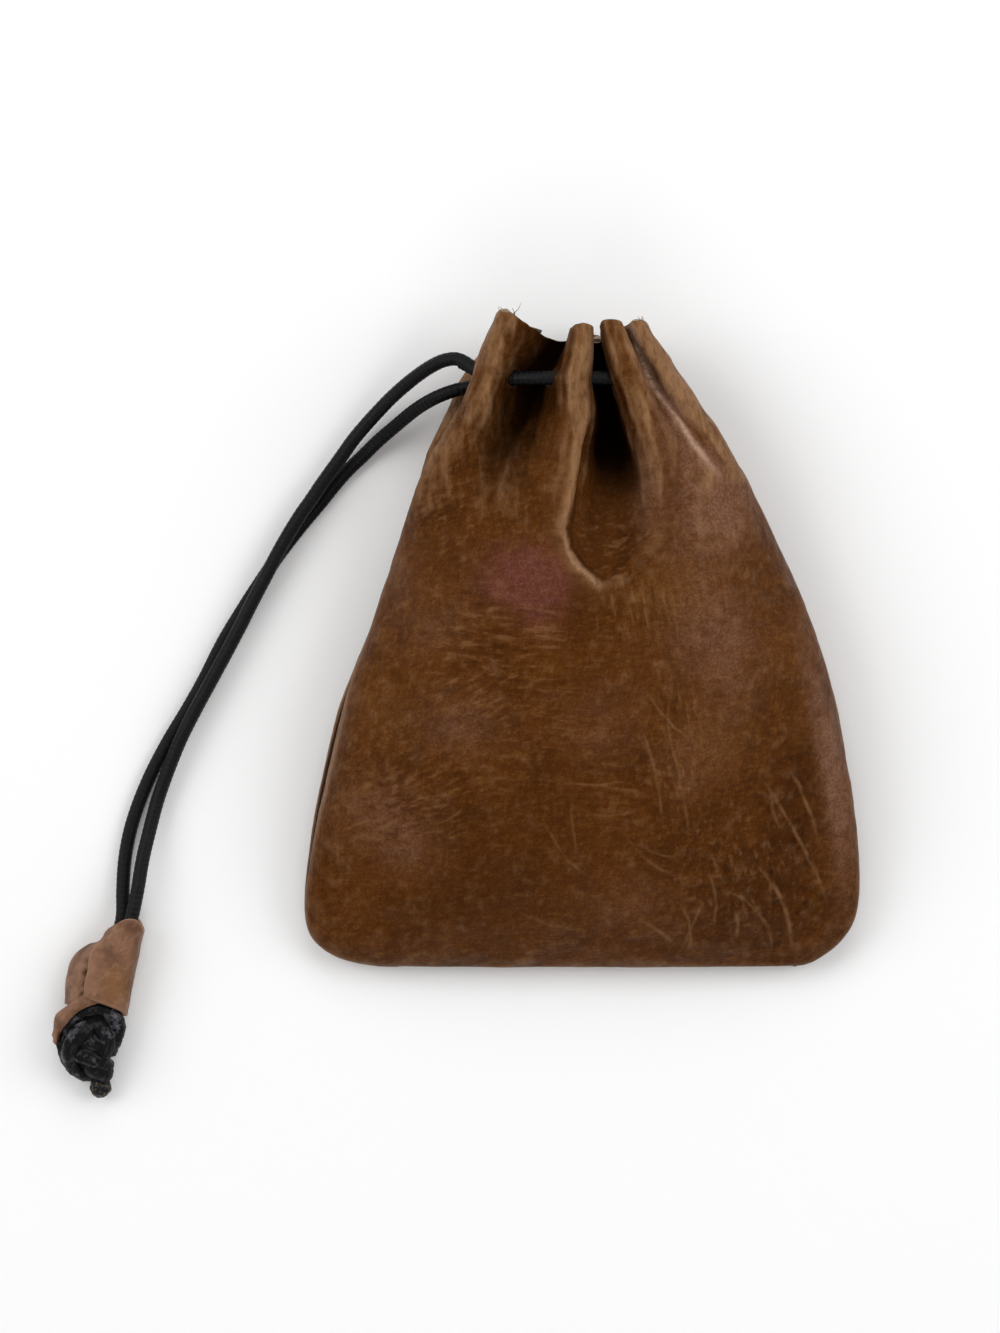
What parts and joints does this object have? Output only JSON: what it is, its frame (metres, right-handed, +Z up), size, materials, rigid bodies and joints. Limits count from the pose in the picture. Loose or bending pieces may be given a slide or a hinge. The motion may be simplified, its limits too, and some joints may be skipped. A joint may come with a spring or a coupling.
{
  "type": "drawstring coin purse",
  "caption": "Small soft leather pouch lying on its back, its mouth gathered by a thin cord whose two ends run through a leather slide to a knot.",
  "frame": {"origin": "middle of the purse's outline, on the surface that its back rests on, without the free cord", "axes": "+Z up, out of the purse's front; +Y from the bottom seam to the mouth; +X to the right seen from above"},
  "size_m": [0.1304, 0.1268, 0.0245],
  "materials": {
    "pouch_leather": "waxed brown leather, crazed and lighter where it is bent",
    "slide_leather": "plain tan leather, matt",
    "cord": "black waxed cotton cord, finely woven"
  },
  "bodies": {
    "root": {"front_panel": "pouch_leather", "back_panel": "pouch_leather", "neck_cord": "cord", "cord_strand_upper": "cord", "cord_strand_lower": "cord", "cord_slide": "slide_leather", "end_knot": "cord"}
  },
  "joints": []
}
